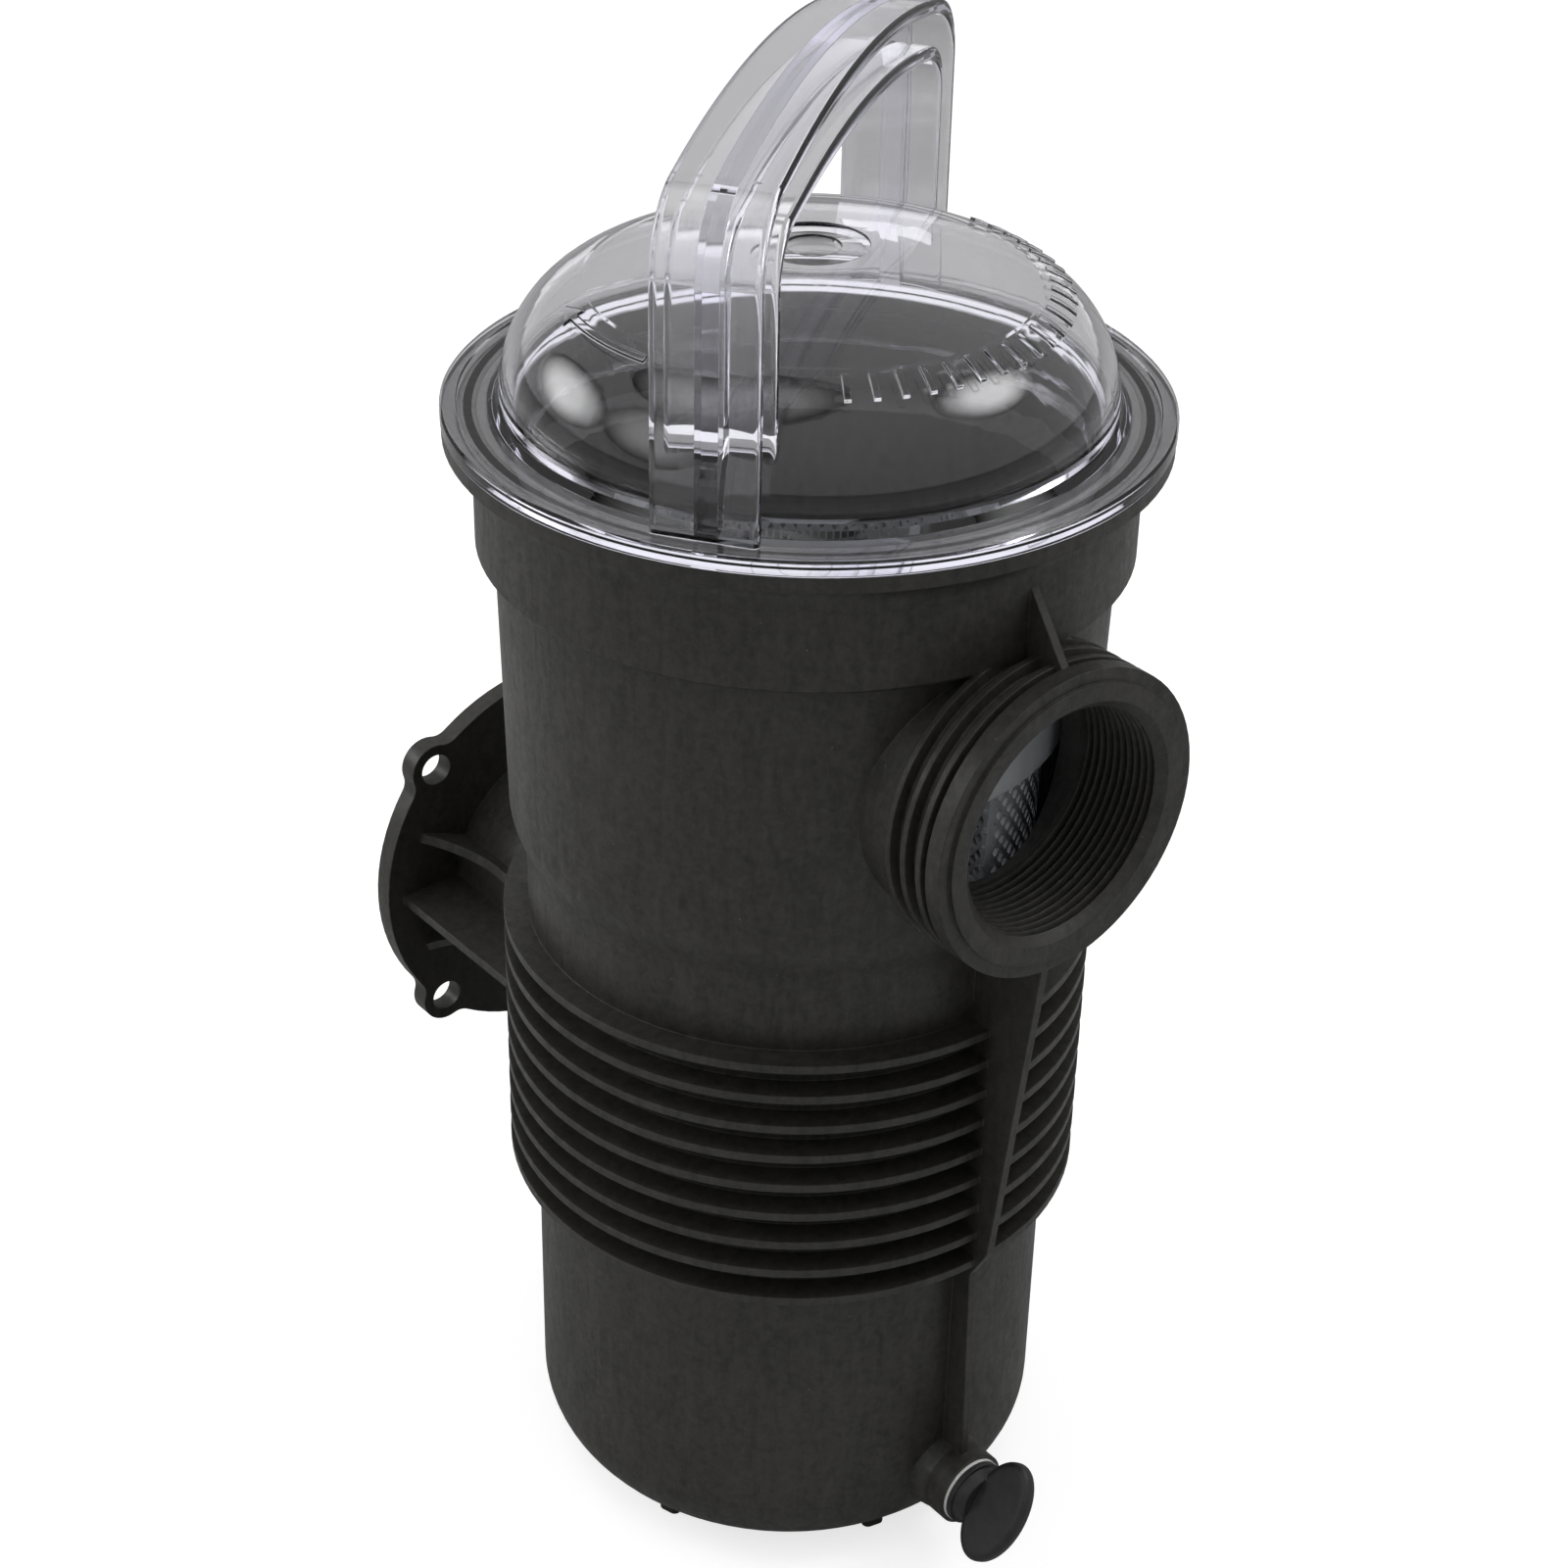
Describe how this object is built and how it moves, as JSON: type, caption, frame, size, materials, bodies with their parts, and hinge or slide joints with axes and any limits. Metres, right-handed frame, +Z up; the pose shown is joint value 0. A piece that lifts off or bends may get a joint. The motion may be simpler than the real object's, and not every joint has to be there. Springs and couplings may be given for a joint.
{
  "type": "pool pump strainer pot",
  "caption": "Cylindrical pump strainer pot with a screw-down clear lid and arch handle, lift-out basket, threaded side port, four-bolt pump flange and winged drain plug.",
  "frame": {"origin": "centre of the pot's flat underside, on the pot's axis; the six small feet reach 3 mm below it", "axes": "+Z up along the pot's axis, -Y out of the suction port, +Y out of the pump flange"},
  "size_m": [0.17, 0.2112, 0.3912],
  "materials": {
    "pot_plastic": "satin, glass-filled",
    "clear_plastic": "gloss, clear",
    "seal_rubber": "satin",
    "basket_plastic": "satin, translucent",
    "gasket_rubber": "matte",
    "plug_plastic": "satin"
  },
  "bodies": {
    "pot": {"pot_body": "pot_plastic"},
    "lid_seal": {"lid_o_ring": "seal_rubber"},
    "lid": {"lid": "clear_plastic"},
    "basket": {"strainer_basket": "basket_plastic"},
    "drain_seal": {"drain_gasket": "gasket_rubber"},
    "plug": {"drain_plug": "plug_plastic"}
  },
  "joints": [
    {"name": "lid_lift", "type": "slide", "parent": "pot", "child": "lid_seal", "axis": [0, 0, 1], "range_m": [0, 0.3]},
    {"name": "lid_turn", "type": "hinge", "parent": "lid_seal", "child": "lid", "pos_m": [0, 0, 0.305], "axis": [0, 0, -1], "range_deg": [0, 40]},
    {"name": "basket_lift", "type": "slide", "parent": "pot", "child": "basket", "axis": [0, 0, 1], "range_m": [0, 0.245]},
    {"name": "drain_out", "type": "slide", "parent": "pot", "child": "drain_seal", "axis": [0, -1, 0], "range_m": [0, 0.017]},
    {"name": "drain_turn", "type": "hinge", "parent": "drain_seal", "child": "plug", "pos_m": [0, -0.0781, 0.0203], "axis": [0, -1, 0], "range_deg": [0, 4320]}
  ],
  "couplings": [
    {"joint": "basket_lift", "follows": "lid_lift", "ratio": 0.8},
    {"joint": "drain_out", "follows": "drain_turn", "m_per_rad": 0.00022441}
  ]
}
